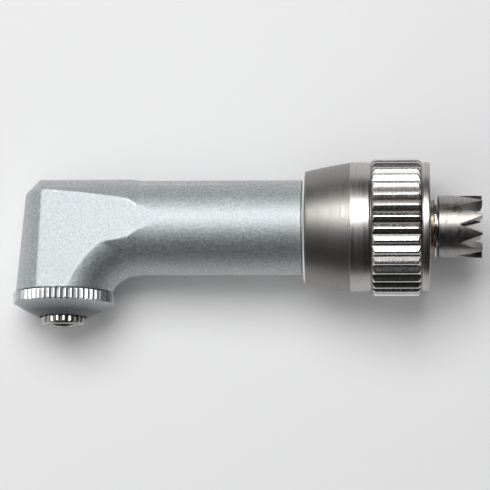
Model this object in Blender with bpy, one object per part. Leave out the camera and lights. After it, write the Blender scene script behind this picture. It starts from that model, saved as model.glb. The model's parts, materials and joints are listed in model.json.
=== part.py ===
"""Right-angle head of a contra angle handpiece, as an assembly of its separate pieces.

The head lies on its side. +X runs along the barrel from the head to the crown gear, the
cutting spindle points to -Y, and +Z is up. The origin is the centre of the drive shaft's rear
end face. Every turned piece is modelled about its own local Z, and one of two empties, on the
barrel's axis and on the spindle's axis, puts it in place. Dimensions below are millimetres:
heights along the barrel are measured from the spindle's axis, and heights along the spindle
from the barrel's axis towards the tool.
"""
import math

import bmesh
import bpy
from mathutils import Matrix, Vector

MM = 0.001

# Overall layout
SHAFT_END = 39.2            # drive shaft's rear end face, where the frame's origin is
FINE = 36                   # sides of the large turned pieces
PLAIN = 20                  # sides of the small turned pieces
GEAR_SIDES = 24             # sides of the hubs and bores inside toothed or fluted rings
FIT_GAP = 0.03              # between a seat and the piece that stays in it
RUN_GAP = 0.06              # between a piece that turns and the piece round it
END_GAP = 0.05              # between the end faces of neighbouring pieces
EDGE = 0.1                  # small chamfers

# Housing
HOUSING_SIDES = 48
HEAD_R = 4.88               # head end of the barrel
HEAD_START = -6.0           # blank's end, before the front cone is cut
BARREL_R = 4.74             # barrel between the head and the nut
STEP_START, STEP_END = 6.8, 7.7
BARREL_SHOULDER = 23.92     # where the barrel steps down under the nut
NECK_R = 4.3                # barrel inside the nut
SPIGOT_R = 4.0              # what the angle's sheath slides over
SPIGOT_START, SPIGOT_END = 27.9, 35.6
SPIGOT_LEAD = 0.15
RING_GROOVE_R = 3.95
RING_GROOVE = (26.15, 26.85)
FRONT_R0, FRONT_SLOPE = 4.2, 0.084       # front cone's radius at the barrel's axis, and its taper
CHAMFER_LOW = (3.923, -3.3)              # front cone's top edge: radius, height along the spindle
CHAMFER_SLOPE = 1.11
CHAMFER_TOP_R = 2.0
HEAD_BOTTOM = 6.54
BEND_CENTRE = (7.45, -7.65)
BEND_R, BEND_SECTION_R = 7.3, 4.5
BEND_SIDES, BEND_STEPS = 28, 12
BEND_START, BEND_SWEEP = 88.0, 96.0      # degrees round the bend's centre
COLUMN = ((-6.0, -4.65, 0.5), (0.4, 4.65, 9.5))      # block between the barrel and the cap
FLAT_DISTANCE, FLAT_TAPER, FLAT_TILT = 3.87, 0.093, 0.083
BORE_START = 0.4
BORE_R = 3.15               # bearing bore
PINION_BORE_R = 2.62
BORE_SHOULDER = 3.75
GEAR_CHAMBER_R = 2.8
UPPER_SEAT_R = 1.73         # seat of the spindle's upper bush
UPPER_SEAT = (-4.15, -2.45)
CAP_BORE_R, CAP_BORE_TOP = 3.9, 4.35

# Bevel gears: two equal 45 degree gears
GEAR_TEETH = 12
GEAR_PITCH_R = 2.3
GEAR_ADDENDUM, GEAR_DEDENDUM = 0.26, 0.33
GEAR_SMALL_END = 0.69       # small end's size over the large end's
GEAR_PRESSURE = math.radians(20.0)
GEAR_BACKLASH = 0.07
GEAR_FACE = 0.7             # share of the dedendum that the end faces stand back by
GEAR_HUB_R = 1.9
GEAR_HUB_STEP = 0.2

# Ball bearings
RACE_GAP = 0.05
RACE_LAND = 0.76            # how far the races reach past the balls' centres, in ball radii
GROOVE_SHARE = 0.27         # half of the groove's width, as a share of the race's width
CAGE_HALF_WIDTH, CAGE_HALF_WALL = 0.8, 0.3           # in ball radii
SHAFT_BALL_R, SHAFT_BALL_PITCH_R, SHAFT_BALLS = 0.5, 2.2, 7
LOWER_BALL_R, LOWER_BALL_PITCH_R, LOWER_BALLS = 0.42, 2.57, 8

# Drive shaft line
SHAFT_R = 1.2
SHAFT_START = 1.95
PINION_SEAT_R = 0.95
FRONT_BEARING = (3.85, 6.05)
REAR_BEARING = (27.05, 29.25)
BEARING_SEAT_R = BORE_R - 0.05
SPACER_TUBE_R, SPACER_SLEEVE_R = 1.7, 2.65           # outside of the tube, inside of the sleeve
CIRCLIP = (29.35, 29.62)
CIRCLIP_GROOVE_R, CIRCLIP_R = 1.0, 1.7
CIRCLIP_SWEEP = 300.0
WAVE_WASHER = (2.55, 3.08)               # inside and outside radius
WAVE_MIDDLE, WAVE_THICKNESS, WAVE_RISE, WAVES = 29.6, 0.15, 0.12, 3
BUSH_START, BUSH_R = 30.3, 2.28
BUSH_FLANGE_R = 2.7
BUSH_FLANGE = (36.6, 37.0)
RETAINER = (29.95, 36.55)
RETAINER_SLOT_WIDTH, RETAINER_SLOT_FLOOR, RETAINER_SLOT_TURN = 0.9, 35.7, 35.0
WASHER_R = 3.05
WASHER = (37.08, 37.22)
CROWN_R, CROWN_HOLLOW_R = 3.1, 2.1
CROWN_BOSS_R = 2.0
CROWN_TEETH = 10
CROWN_TURN = math.radians(4.0)           # of the teeth, from halfway between whole steps
CROWN_TOOTH, CROWN_TOOTH_TIP = 0.42, 0.05            # half widths, as shares of the pitch
CROWN_BOSS, CROWN_FACE, CROWN_FLOOR, CROWN_ROOT, CROWN_TIP = 37.27, 37.42, 38.9, 39.6, 41.8

# Spindle line
SPINDLE_R = 1.74
SPINDLE_START, SPINDLE_END = -4.0, 9.25
JOURNAL_R, JOURNAL_END = 0.88, 1.1
GEAR_SEAT_R, GEAR_SEAT_START = 1.3, 1.2
SPINDLE_FLANGE_R = 2.0
SPINDLE_FLANGE = (3.75, 4.3)
SHANK_R = 1.2               # bore for a 2.35 mm shank
GRIP_R = 1.48
GRIP_BORE_END, GRIP_BORE_TIP = 4.2, 3.95
GRIP = (4.4, 9.2)
GRIP_SWEEP = 345.0
UPPER_BUSH_R = 1.7
UPPER_BUSH = (-4.05, -2.5)
LOWER_BEARING = (4.4, 6.6)
LOWER_BEARING_R = 3.37
SHIM = (2.98, 3.35)                      # inside and outside radius
SHIM_SPAN = (6.65, 6.73)
SEAL_R = 2.9
SEAL = (6.85, 7.25)
CAP_R, CAP_VALLEY_R = 5.05, 4.87
CAP_RIDGES = 54
CAP_BAND = (6.59, 7.7)
CAP_SLEEVE_R, CAP_SLEEVE_START = 3.85, 4.5
CAP_RACE_SEAT_R, CAP_LEDGE = 3.4, 6.78
CAP_POCKET_R, CAP_POCKET_END = 2.95, 7.3
CAP_RIM_R, CAP_CONE_R = 4.8, 4.85
CAP_HOLE_R, CAP_END = 2.35, 9.0
NOSE_R, NOSE_VALLEY_R, NOSE_FLUTES = 2.15, 2.04, 16
NOSE = (7.4, 9.8)
NOSE_EDGE, NOSE_MOUTH = 0.18, 0.25       # of the outer edge, and of the bore's mouth

# Coupling nut
NUT_START, NUT_END = 24.05, 36.6
NUT_BORE_R, NUT_CAVITY_R = 4.36, 5.3
NUT_SHOULDER = 26.0
NUT_FRONT_R, NUT_BODY_R = 5.59, 6.5
NUT_FRONT_EDGE = (0.14, 0.22)            # across and along the axis
NUT_CONE_END = 28.7
NUT_RELIEF = 0.03                        # of the cone's end and the rear lip, below the body
NUT_RIDGE_R, NUT_VALLEY_R, NUT_RIDGES = 6.89, 6.56, 36
NUT_RIDGE_FOOT = 0.06                    # ridges' height at the band's ends
NUT_RIDGE_CHAMFER = 0.35
NUT_BAND = (30.8, 35.8)
NUT_REAR_EDGE = (0.15, 0.12)
NUT_MOUTH = 0.25
RETAINING_RING_R = 4.95
RETAINING_RING_SWEEP = 315.0
PIN_R, PIN_LENGTH, PIN_SIDES = 0.6, 1.4, 12
PIN_HOLE_LENGTH = 3.0
PIN_PLACE = (4.0, 31.0)                  # height above the barrel's axis, height along it

STEEL = ("machined_steel", (0.56, 0.55, 0.53), 0.28, 1.0)
STAINLESS = ("brushed_stainless", (0.62, 0.60, 0.57), 0.32, 1.0)
BEARING = ("bearing_steel", (0.66, 0.67, 0.68), 0.18, 1.0)
SATIN = ("satin_chrome", (0.66, 0.70, 0.72), 0.45, 1.0)
BRONZE = ("bronze", (0.56, 0.38, 0.22), 0.38, 1.0)
SPRING = ("spring_steel", (0.36, 0.36, 0.37), 0.35, 1.0)
RUBBER = ("seal_rubber", (0.03, 0.03, 0.03), 0.6, 0.0)


# ---------------------------------------------------------------- scene and materials

def clear_scene():
    for obj in list(bpy.data.objects):
        bpy.data.objects.remove(obj, do_unlink=True)


def material_of(spec):
    name, colour, roughness, metallic = spec
    material = bpy.data.materials.get(name) or bpy.data.materials.new(name)
    material.use_nodes = True
    shader = material.node_tree.nodes["Principled BSDF"]
    shader.inputs["Base Color"].default_value = (*colour, 1.0)
    shader.inputs["Roughness"].default_value = roughness
    shader.inputs["Metallic"].default_value = metallic
    return material


def axis_empty(name, rotation):
    empty = bpy.data.objects.new(name, None)
    empty.location = (-SHAFT_END * MM, 0.0, 0.0)
    empty.rotation_euler = rotation
    empty.empty_display_size = 0.005
    bpy.context.scene.collection.objects.link(empty)
    return empty


def finish_mesh(bm, name):
    """Turn a bmesh in millimetres into a mesh in metres, shaded smooth with crisp edges."""
    bmesh.ops.remove_doubles(bm, verts=bm.verts, dist=0.0001)
    bmesh.ops.recalc_face_normals(bm, faces=bm.faces)
    bmesh.ops.scale(bm, vec=Vector((MM, MM, MM)), verts=bm.verts)
    mesh = bpy.data.meshes.new(name)
    bm.to_mesh(mesh)
    bm.free()
    mesh.shade_smooth()
    mesh.set_sharp_from_angle(angle=math.radians(28.0))
    return mesh


def place(name, bm, material, parent, height=0.0, turn=0.0):
    """Link a piece whose local origin is on its parent's axis, at a height along it."""
    obj = bpy.data.objects.new(name, finish_mesh(bm, name))
    obj.parent = parent
    obj.location = (0.0, 0.0, height * MM)
    obj.rotation_euler = (0.0, 0.0, turn)
    bpy.context.scene.collection.objects.link(obj)
    if material:
        obj.data.materials.append(material_of(material))
    return obj


def guide(name, bm, parent, height=0.0, turn=0.0):
    """A cutter, or a shape that only another piece's Boolean uses."""
    obj = place(name, bm, None, parent, height, turn)
    obj.hide_render = True
    obj.display_type = "WIRE"
    return obj


def boolean(obj, operation, other):
    modifier = obj.modifiers.new(operation.lower() + "_" + other.name, "BOOLEAN")
    modifier.operation = operation
    modifier.solver = "EXACT"
    modifier.object = other


# ---------------------------------------------------------------- shapes

def turned(profile, sides, sweep=360.0):
    """Spin a profile of (radius, height) points about Z. It is a closed ring where no point
    lies on the axis, and otherwise a chain that starts and ends on the axis."""
    bm = bmesh.new()
    verts = [bm.verts.new((radius, 0.0, height)) for radius, height in profile]
    ends = verts[1:] if profile[0][0] == 0.0 else verts[1:] + verts[:1]
    edges = [bm.edges.new(pair) for pair in zip(verts, ends)]
    whole = sweep == 360.0
    bmesh.ops.spin(bm, geom=verts + edges, cent=(0, 0, 0), axis=(0, 0, 1),
                   angle=math.radians(sweep), steps=sides, use_merge=whole)
    if not whole:
        open_edges = [edge for edge in bm.edges if edge.is_boundary]
        bmesh.ops.holes_fill(bm, edges=open_edges, sides=0)
    return bm


def ring(radius, height, count, phase=0.0):
    """Points of a plain ring."""
    step = math.tau / count
    return [polar(radius, phase + index * step, height) for index in range(count)]


def polar(radius, angle, height):
    return (radius * math.cos(angle), radius * math.sin(angle), height)


def lofted(rings):
    """Skin closed rings of points one after another, and the last to the first. A ring may have
    a whole number of times the points of its neighbour."""
    bm = bmesh.new()
    loops = [[bm.verts.new(point) for point in points] for points in rings]
    for loop, following in zip(loops, loops[1:] + loops[:1]):
        skin(bm, loop, following)
    return bm


def skin(bm, loop, following):
    many, few = (loop, following) if len(loop) >= len(following) else (following, loop)
    ratio = len(many) // len(few)
    for index, vert in enumerate(few):
        after = few[(index + 1) % len(few)]
        span = [many[(index * ratio + step) % len(many)] for step in range(ratio + 1)]
        if ratio == 1:
            bm.faces.new((vert, after, span[1], span[0]))
            continue
        for left, right in zip(span, span[1:]):
            bm.faces.new((vert, right, left))
        bm.faces.new((vert, after, span[-1]))


def box(low, high):
    bm = bmesh.new()
    size = [b - a for a, b in zip(low, high)]
    centre = [(a + b) / 2.0 for a, b in zip(low, high)]
    bmesh.ops.create_cube(bm, size=1.0, matrix=Matrix.Translation(centre) @ Matrix.Diagonal((*size, 1.0)))
    return bm


def knurled_ring(ridges, ridge_r, valley_r, height):
    """Points of a ring with straight V ridges."""
    pitch = math.tau / ridges
    points = []
    for index in range(ridges):
        points.append(polar(ridge_r, index * pitch, height))
        points.append(polar(valley_r, (index + 0.5) * pitch, height))
    return points


def race(inner_r, outer_r, groove_r, groove_on_outside, height_range):
    """A bearing ring with a V groove for the balls, on its inside or its outside."""
    low, high = height_range
    middle = (low + high) / 2.0
    half = (high - low) * GROOVE_SHARE
    face_r = outer_r if groove_on_outside else inner_r
    back_r = inner_r if groove_on_outside else outer_r
    return turned([(back_r, low), (face_r, low), (face_r, middle - half), (groove_r, middle),
                   (face_r, middle + half), (face_r, high), (back_r, high)], PLAIN)


# ---------------------------------------------------------------- housing

def make_housing(barrel, spindle_line):
    """Head, elbow and barrel in one casting, hollow for the gears and the bearings."""
    outline = [
        (0.0, HEAD_START), (HEAD_R, HEAD_START), (HEAD_R, STEP_START), (BARREL_R, STEP_END),
        (BARREL_R, BARREL_SHOULDER - EDGE), (BARREL_R - EDGE, BARREL_SHOULDER), (NECK_R, BARREL_SHOULDER),
        (NECK_R, RING_GROOVE[0]), (RING_GROOVE_R, RING_GROOVE[0]),
        (RING_GROOVE_R, RING_GROOVE[1]), (NECK_R, RING_GROOVE[1]),
        (NECK_R, SPIGOT_START), (SPIGOT_R, SPIGOT_START + EDGE), (SPIGOT_R, SPIGOT_END - SPIGOT_LEAD),
        (SPIGOT_R - SPIGOT_LEAD, SPIGOT_END), (0.0, SPIGOT_END),
    ]
    housing = place("head_housing", turned(outline, HOUSING_SIDES), SATIN, barrel)

    angles = (math.tau * index / BEND_SIDES for index in range(BEND_SIDES))
    section = [(BEND_R + BEND_SECTION_R * math.cos(angle), BEND_SECTION_R * math.sin(angle))
               for angle in angles]
    elbow = guide("elbow_shape", turned(section, BEND_STEPS, sweep=BEND_SWEEP), None)
    elbow.location = ((BEND_CENTRE[0] - SHAFT_END) * MM, BEND_CENTRE[1] * MM, 0.0)
    elbow.rotation_euler = (0.0, 0.0, math.radians(BEND_START))
    boolean(housing, "UNION", elbow)

    boolean(housing, "UNION", guide("column_shape", box(*COLUMN), spindle_line))
    below = guide("bottom_cutter", box((-8.0, -7.0, HEAD_BOTTOM), (7.6, 7.0, 15.0)), spindle_line)
    boolean(housing, "DIFFERENCE", below)
    boolean(housing, "DIFFERENCE", make_front_cutter(spindle_line))
    for side in (1.0, -1.0):
        boolean(housing, "DIFFERENCE", make_flat_cutter(side))

    mouth = HEAD_BOTTOM + 2.0
    chamber = [(0.0, UPPER_SEAT[0]), (UPPER_SEAT_R, UPPER_SEAT[0]), (UPPER_SEAT_R, UPPER_SEAT[1]),
               (GEAR_CHAMBER_R, UPPER_SEAT[1]), (GEAR_CHAMBER_R, CAP_BORE_TOP),
               (CAP_BORE_R, CAP_BORE_TOP), (CAP_BORE_R, mouth), (0.0, mouth)]
    boolean(housing, "DIFFERENCE", guide("chamber_cutter", turned(chamber, FINE), spindle_line))
    rear = SPIGOT_END + 1.0
    bore = [(0.0, BORE_START), (PINION_BORE_R, BORE_START), (PINION_BORE_R, BORE_SHOULDER),
            (BORE_R, BORE_SHOULDER), (BORE_R, rear), (0.0, rear)]
    boolean(housing, "DIFFERENCE", guide("bore_cutter", turned(bore, FINE), barrel))
    return housing


def front_cone_r(height):
    """Front cone's radius at a height along the spindle, towards the tool."""
    return FRONT_R0 + FRONT_SLOPE * height


def make_front_cutter(spindle_line):
    """Half ring that leaves the head's front a cone about the spindle, chamfered at the back."""
    chamfer_r, chamfer_height = CHAMFER_LOW
    top_height = chamfer_height - (chamfer_r - CHAMFER_TOP_R) * CHAMFER_SLOPE
    reach, half_height, steps = 10.0, 8.0, 24
    outline = [(front_cone_r(half_height), half_height), (front_cone_r(chamfer_height), chamfer_height),
               (CHAMFER_TOP_R, top_height), (CHAMFER_TOP_R, -half_height), (reach, -half_height),
               (reach, half_height)]
    return guide("front_cutter", turned(outline, steps, sweep=180.0), spindle_line,
                 turn=math.radians(90.0))


def make_flat_cutter(side):
    """Block whose inner face is one of the head's side flats."""
    reach, depth = 20.0, 8.0
    cutter = guide("flat_cutter_up" if side > 0 else "flat_cutter_down",
                   box((-reach, -reach, 0.0), (reach, reach, depth)), None)
    outward = Vector((-FLAT_TAPER, FLAT_TILT, side))
    cutter.rotation_euler = outward.to_track_quat("Z", "Y").to_euler()
    cutter.location = (-SHAFT_END * MM, 0.0, side * FLAT_DISTANCE * MM)
    return cutter


# ---------------------------------------------------------------- gears

def tooth_half_angle(step):
    """Half of a bevel tooth's angle at a step above its pitch line, at the large end. The tooth
    is an involute on the gear's back cone."""
    back_cone_r = GEAR_PITCH_R / math.cos(math.pi / 4.0)
    base_r = back_cone_r * math.cos(GEAR_PRESSURE)
    involute = math.tan(GEAR_PRESSURE) - GEAR_PRESSURE
    radius = max(back_cone_r + step, base_r)
    pressure = math.acos(base_r / radius)
    thickness = math.pi * GEAR_PITCH_R / GEAR_TEETH - GEAR_BACKLASH
    half = thickness / (2.0 * back_cone_r) + involute - (math.tan(pressure) - pressure)
    return half * (back_cone_r + step) / (GEAR_PITCH_R + step * math.cos(math.pi / 4.0))


def tooth_ring(scale, phase):
    """Points of a ring of bevel teeth, six to a tooth, scaled towards the cones' common tip."""
    lean = math.cos(math.pi / 4.0)
    steps = (-GEAR_DEDENDUM, 0.0, GEAR_ADDENDUM)
    points = []
    for tooth in range(GEAR_TEETH):
        centre = phase + tooth * math.tau / GEAR_TEETH
        flank = [(step, tooth_half_angle(step)) for step in steps]
        for sign, side in ((-1.0, flank), (1.0, flank[::-1])):
            for step, half in side:
                radius = (GEAR_PITCH_R + step * lean) * scale
                height = (GEAR_PITCH_R - step * lean) * scale
                points.append(polar(radius, centre + sign * half, height))
    return points


def bevel_gear(bore_r, hub_end, phase):
    """Bevel gear whose teeth point to the cones' common tip, with a hub on its large end."""
    half_tooth = math.tau / GEAR_TEETH / 4.0
    face_height = (GEAR_PITCH_R + GEAR_DEDENDUM * GEAR_FACE) * GEAR_SMALL_END
    back_height = GEAR_PITCH_R + GEAR_DEDENDUM * GEAR_FACE + GEAR_HUB_STEP
    hub_phase = phase - half_tooth
    return lofted([
        tooth_ring(1.0, phase), tooth_ring(GEAR_SMALL_END, phase),
        ring(bore_r, face_height, GEAR_SIDES, hub_phase), ring(bore_r, hub_end, GEAR_SIDES, hub_phase),
        ring(GEAR_HUB_R, hub_end, GEAR_SIDES, hub_phase),
        ring(GEAR_HUB_R, back_height, GEAR_SIDES, hub_phase),
    ])


def crown_gear():
    """Tube with pointed teeth on its rear rim, and a boss on its front face."""
    pitch = math.tau / CROWN_TEETH
    spots = [(-CROWN_TOOTH, CROWN_ROOT), (-CROWN_TOOTH_TIP, CROWN_TIP),
             (CROWN_TOOTH_TIP, CROWN_TIP), (CROWN_TOOTH, CROWN_ROOT)]

    def crown_ring(radius, height=None):
        return [polar(radius, CROWN_TURN + (tooth + 0.5 + share) * pitch, rim if height is None else height)
                for tooth in range(CROWN_TEETH) for share, rim in spots]

    bore_r = SHAFT_R + FIT_GAP
    edge = 0.12
    return lofted([
        crown_ring(bore_r, CROWN_BOSS), crown_ring(bore_r, CROWN_FLOOR),
        crown_ring(CROWN_HOLLOW_R, CROWN_FLOOR), crown_ring(CROWN_HOLLOW_R), crown_ring(CROWN_R),
        crown_ring(CROWN_R, CROWN_FACE + edge), crown_ring(CROWN_R - edge, CROWN_FACE),
        crown_ring(CROWN_BOSS_R, CROWN_FACE), crown_ring(CROWN_BOSS_R, CROWN_BOSS),
    ])


# ---------------------------------------------------------------- bearings

def make_bearing(name, parent, span, bore_r, outer_r, ball_r, pitch_r, balls):
    """A ball bearing: two races, and a cage that carries its balls round."""
    land = ball_r * RACE_LAND
    groove = ball_r + RACE_GAP
    outer_groove = groove + 0.02
    inner = race(bore_r, pitch_r - land, pitch_r - groove, True, span)
    outer = race(pitch_r + land, outer_r, pitch_r + outer_groove, False, span)
    place(name + "_inner_race", inner, BEARING, parent)
    place(name + "_outer_race", outer, BEARING, parent)

    middle = (span[0] + span[1]) / 2.0
    half_width, half_wall = ball_r * CAGE_HALF_WIDTH, ball_r * CAGE_HALF_WALL
    cage = turned([(pitch_r - half_wall, -half_width), (pitch_r + half_wall, -half_width),
                   (pitch_r + half_wall, half_width), (pitch_r - half_wall, half_width)], 2 * balls)
    carrier = place(name + "_balls", cage, BEARING, parent, middle)
    spheres = bmesh.new()
    for index in range(balls):
        spot = Vector(polar(pitch_r, (index + 0.5) * math.tau / balls, 0.0))
        bmesh.ops.create_icosphere(spheres, subdivisions=2, radius=ball_r, matrix=Matrix.Translation(spot))
    boolean(carrier, "UNION", guide(name + "_ball_shapes", spheres, parent, middle))


# ---------------------------------------------------------------- drive shaft line

def make_shaft_line(barrel):
    seat_end = FRONT_BEARING[0] - 0.07
    clip_low, clip_high = CIRCLIP[0] - FIT_GAP, CIRCLIP[1] + FIT_GAP
    shaft = [(0.0, SHAFT_START), (PINION_SEAT_R, SHAFT_START), (PINION_SEAT_R, seat_end),
             (SHAFT_R, seat_end), (SHAFT_R, clip_low), (CIRCLIP_GROOVE_R, clip_low),
             (CIRCLIP_GROOVE_R, clip_high), (SHAFT_R, clip_high),
             (SHAFT_R, SHAFT_END - EDGE), (SHAFT_R - EDGE, SHAFT_END), (0.0, SHAFT_END)]
    place("drive_shaft", turned(shaft, PLAIN), STEEL, barrel)
    pinion = bevel_gear(PINION_SEAT_R + FIT_GAP, FRONT_BEARING[0] - 0.1, 0.0)
    place("drive_pinion", pinion, STEEL, barrel)
    for name, span in (("front_bearing", FRONT_BEARING), ("rear_bearing", REAR_BEARING)):
        make_bearing(name, barrel, span, SHAFT_R + FIT_GAP, BEARING_SEAT_R,
                     SHAFT_BALL_R, SHAFT_BALL_PITCH_R, SHAFT_BALLS)

    between = (FRONT_BEARING[1] + END_GAP, REAR_BEARING[0] - END_GAP)
    place("shaft_spacer_tube", tube(SHAFT_R + FIT_GAP, SPACER_TUBE_R, *between), STEEL, barrel)
    place("bearing_spacer_sleeve", tube(SPACER_SLEEVE_R, BEARING_SEAT_R, *between), STEEL, barrel)
    circlip = tube(CIRCLIP_GROOVE_R + FIT_GAP, CIRCLIP_R, *CIRCLIP, sweep=CIRCLIP_SWEEP)
    place("shaft_circlip", circlip, SPRING, barrel)
    place("preload_wave_washer", wave_washer(*WAVE_WASHER), SPRING, barrel)

    bush_bore_r = SHAFT_R + RUN_GAP
    bush = [(bush_bore_r, BUSH_START), (BUSH_R, BUSH_START), (BUSH_R, BUSH_FLANGE[0]),
            (BUSH_FLANGE_R, BUSH_FLANGE[0]), (BUSH_FLANGE_R, BUSH_FLANGE[1]), (bush_bore_r, BUSH_FLANGE[1])]
    place("rear_bronze_bush", turned(bush, PLAIN), BRONZE, barrel)
    retainer = place("bearing_retainer_nut", tube(BUSH_R + FIT_GAP, BEARING_SEAT_R, *RETAINER),
                     STEEL, barrel)
    half_slot, reach = RETAINER_SLOT_WIDTH / 2.0, 5.0
    slot = guide("retainer_slot_cutter",
                 box((-reach, -half_slot, RETAINER_SLOT_FLOOR), (reach, half_slot, 38.0)), barrel,
                 turn=math.radians(RETAINER_SLOT_TURN))
    boolean(retainer, "DIFFERENCE", slot)
    place("thrust_washer", tube(SHAFT_R + FIT_GAP, WASHER_R, *WASHER), BEARING, barrel)
    place("crown_gear", crown_gear(), STEEL, barrel)


def tube(inner_r, outer_r, low, high, sides=PLAIN, sweep=360.0):
    steps = sides if sweep == 360.0 else round(sides * sweep / 360.0)
    return turned([(inner_r, low), (outer_r, low), (outer_r, high), (inner_r, high)], steps, sweep)


def wave_washer(inner_r, outer_r):
    """Thin ring with waves round it."""
    def wavy(radius, offset):
        points = []
        for index in range(GEAR_SIDES):
            angle = index * math.tau / GEAR_SIDES
            height = WAVE_MIDDLE + offset + WAVE_RISE * math.cos(WAVES * angle)
            points.append(polar(radius, angle, height))
        return points

    half = WAVE_THICKNESS / 2.0
    return lofted([wavy(inner_r, -half), wavy(outer_r, -half), wavy(outer_r, half), wavy(inner_r, half)])


# ---------------------------------------------------------------- spindle line

def make_spindle_line(spindle_line):
    flange_low, flange_high = SPINDLE_FLANGE
    spindle = [(0.0, SPINDLE_START), (JOURNAL_R - EDGE, SPINDLE_START), (JOURNAL_R, SPINDLE_START + EDGE),
               (JOURNAL_R, JOURNAL_END), (GEAR_SEAT_R, GEAR_SEAT_START), (GEAR_SEAT_R, flange_low),
               (SPINDLE_FLANGE_R, flange_low), (SPINDLE_FLANGE_R, flange_high), (SPINDLE_R, flange_high),
               (SPINDLE_R, SPINDLE_END), (GRIP_R, SPINDLE_END), (GRIP_R, GRIP_BORE_END),
               (0.0, GRIP_BORE_TIP)]
    place("spindle", turned(spindle, PLAIN), STEEL, spindle_line)
    half_pitch = math.pi / GEAR_TEETH
    gear = bevel_gear(GEAR_SEAT_R + FIT_GAP, flange_low - 0.1, half_pitch)
    place("driven_gear", gear, STEEL, spindle_line)
    make_bearing("lower_bearing", spindle_line, LOWER_BEARING, SPINDLE_R + FIT_GAP, LOWER_BEARING_R,
                 LOWER_BALL_R, LOWER_BALL_PITCH_R, LOWER_BALLS)
    grip = tube(SHANK_R, GRIP_R - FIT_GAP, *GRIP, sweep=GRIP_SWEEP)
    place("shank_grip_sleeve", grip, SPRING, spindle_line)
    place("nose_collar", nose_collar(), BEARING, spindle_line)
    bush = tube(JOURNAL_R + RUN_GAP, UPPER_BUSH_R, *UPPER_BUSH)
    place("upper_spindle_bush", bush, BRONZE, spindle_line)
    place("cap_shim", tube(*SHIM, *SHIM_SPAN), BEARING, spindle_line)
    place("spindle_seal", tube(SPINDLE_R + RUN_GAP, SEAL_R, *SEAL), RUBBER, spindle_line)
    place("head_cap", head_cap(), SATIN, spindle_line)


def nose_collar():
    """Fluted end of the spindle, with the mouth of the bore that takes the shank."""
    start, end = NOSE
    pitch = math.tau / NOSE_FLUTES

    def fluted(crest_r, valley_r, height):
        shares = ((0.0, crest_r), (1.0 / 3.0, valley_r), (2.0 / 3.0, valley_r))
        return [polar(radius, (flute + share) * pitch, height)
                for flute in range(NOSE_FLUTES) for share, radius in shares]

    seat_r = SPINDLE_R + FIT_GAP
    return lofted([
        ring(seat_r, start, GEAR_SIDES), fluted(NOSE_R, NOSE_VALLEY_R, start),
        fluted(NOSE_R, NOSE_VALLEY_R, end - 0.12), ring(NOSE_R - NOSE_EDGE, end, GEAR_SIDES),
        ring(SHANK_R + NOSE_MOUTH, end, GEAR_SIDES), ring(SHANK_R, end - 0.2, GEAR_SIDES),
        ring(SHANK_R, SPINDLE_END + END_GAP, GEAR_SIDES), ring(seat_r, SPINDLE_END + END_GAP, GEAR_SIDES),
    ])


def head_cap():
    """Knurled cap that screws into the head and holds the lower bearing."""
    band_start, band_end = CAP_BAND
    return lofted([
        ring(CAP_RACE_SEAT_R, CAP_SLEEVE_START, FINE), ring(CAP_SLEEVE_R, CAP_SLEEVE_START, FINE),
        ring(CAP_SLEEVE_R, band_start, FINE), ring(CAP_RIM_R, band_start, FINE),
        knurled_ring(CAP_RIDGES, CAP_R, CAP_VALLEY_R, band_start),
        knurled_ring(CAP_RIDGES, CAP_R, CAP_VALLEY_R, band_end),
        ring(CAP_CONE_R, band_end + 0.05, FINE), ring(CAP_HOLE_R + EDGE, CAP_END, FINE),
        ring(CAP_HOLE_R, CAP_END - 0.08, FINE), ring(CAP_HOLE_R, CAP_POCKET_END, FINE),
        ring(CAP_POCKET_R, CAP_POCKET_END, FINE), ring(CAP_POCKET_R, CAP_LEDGE, FINE),
        ring(CAP_RACE_SEAT_R, CAP_LEDGE, FINE),
    ])


# ---------------------------------------------------------------- coupling nut

def coupling_nut():
    """Nut with a cone in front, a band of V ridges, and a shoulder inside for its snap ring."""
    band_start, band_end = NUT_BAND
    lip_r = NUT_BODY_R - NUT_RELIEF
    foot_r = NUT_VALLEY_R + NUT_RIDGE_FOOT

    def knurl(ridge_r, height):
        return knurled_ring(NUT_RIDGES, ridge_r, NUT_VALLEY_R, height)

    return lofted([
        ring(NUT_BORE_R, NUT_START, FINE), ring(NUT_FRONT_R - NUT_FRONT_EDGE[0], NUT_START, FINE),
        ring(NUT_FRONT_R, NUT_START + NUT_FRONT_EDGE[1], FINE), ring(lip_r, NUT_CONE_END, FINE),
        ring(NUT_BODY_R, band_start, FINE), knurl(foot_r, band_start),
        knurl(NUT_RIDGE_R, band_start + NUT_RIDGE_CHAMFER), knurl(NUT_RIDGE_R, band_end - NUT_RIDGE_CHAMFER),
        knurl(foot_r, band_end), ring(lip_r, band_end, FINE),
        ring(lip_r, NUT_END - NUT_REAR_EDGE[1], FINE), ring(NUT_BODY_R - NUT_REAR_EDGE[0], NUT_END, FINE),
        ring(NUT_CAVITY_R + NUT_MOUTH, NUT_END, FINE), ring(NUT_CAVITY_R, NUT_END - NUT_MOUTH, FINE),
        ring(NUT_CAVITY_R, NUT_SHOULDER, FINE), ring(NUT_BORE_R, NUT_SHOULDER, FINE),
    ])


def round_bar(radius, length):
    """Solid round bar about Z, centred on the origin."""
    bm = bmesh.new()
    bmesh.ops.create_cone(bm, cap_ends=True, segments=PIN_SIDES, radius1=radius, radius2=radius, depth=length)
    return bm


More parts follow.
